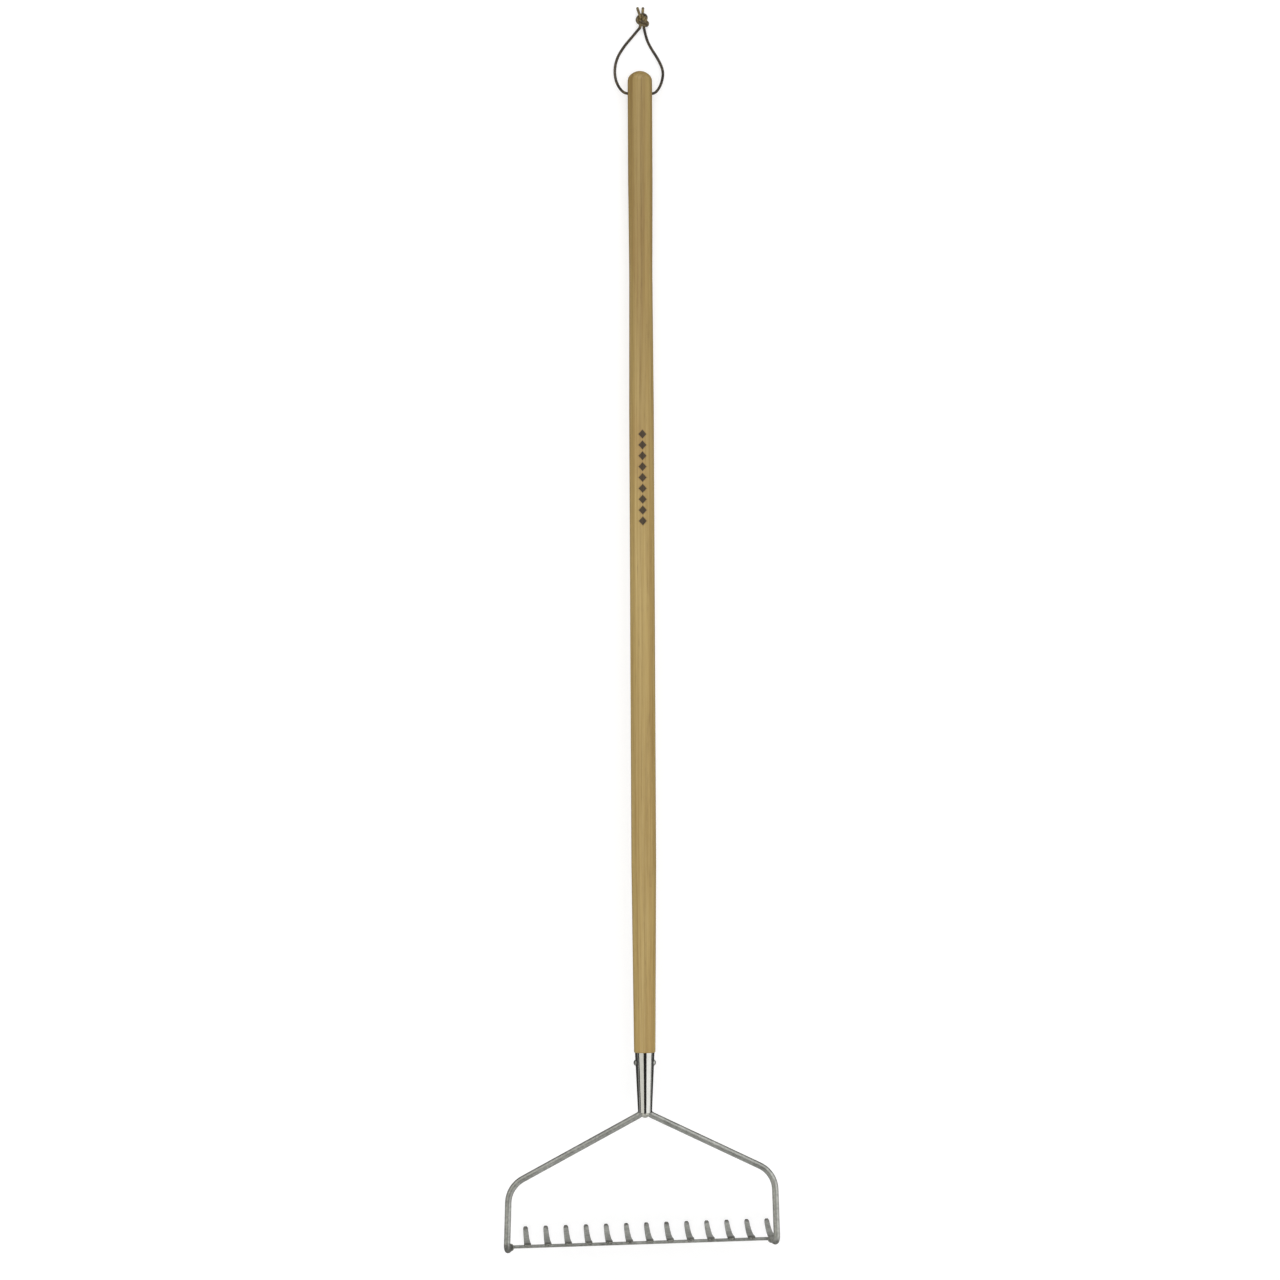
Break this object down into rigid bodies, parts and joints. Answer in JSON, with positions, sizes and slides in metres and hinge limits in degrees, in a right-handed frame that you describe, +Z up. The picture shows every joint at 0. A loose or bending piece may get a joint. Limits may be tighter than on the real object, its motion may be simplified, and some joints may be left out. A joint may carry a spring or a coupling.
{
  "type": "garden rake",
  "caption": "Long-handled bow-head garden rake with a row of curved welded tines, a conical socket, a tapered wooden handle and a lace loop to hang it by.",
  "frame": {"origin": "on the floor under the middle of the rake, which lies tines down", "axes": "+Y from the head toward the end of the handle, +X along the bar to the right as seen from above with the handle pointing away from the viewer, +Z up"},
  "size_m": [0.3439, 1.558, 0.0997],
  "materials": {
    "ash_wood": "oiled, long straight grain",
    "polished_stainless": "polished",
    "brushed_stainless": "satin, lightly brushed",
    "weld_metal": "as welded, wire brushed",
    "lace_leather": "waxed, worn at the bends"
  },
  "bodies": {
    "rake": {"handle": "ash_wood", "socket": "polished_stainless", "socket_rivet": "polished_stainless", "bow_arm_left": "brushed_stainless", "bow_arm_right": "brushed_stainless", "head_bar": "brushed_stainless", "tine_01": "brushed_stainless", "tine_02": "brushed_stainless", "tine_03": "brushed_stainless", "tine_04": "brushed_stainless", "tine_05": "brushed_stainless", "tine_06": "brushed_stainless", "tine_07": "brushed_stainless", "tine_08": "brushed_stainless", "tine_09": "brushed_stainless", "tine_10": "brushed_stainless", "tine_11": "brushed_stainless", "tine_12": "brushed_stainless", "tine_13": "brushed_stainless", "socket_weld": "weld_metal", "arm_weld_left": "weld_metal", "arm_weld_right": "weld_metal", "tine_welds": "weld_metal"},
    "hanging_loop": {"hanging_lace": "lace_leather", "lace_knot": "lace_leather"}
  },
  "joints": [
    {"name": "loop_swing", "type": "hinge", "parent": "rake", "child": "hanging_loop", "pos_m": [0, 0.70782, 0.01627], "axis": [1, 0, 0], "range_deg": [0, 160]}
  ]
}
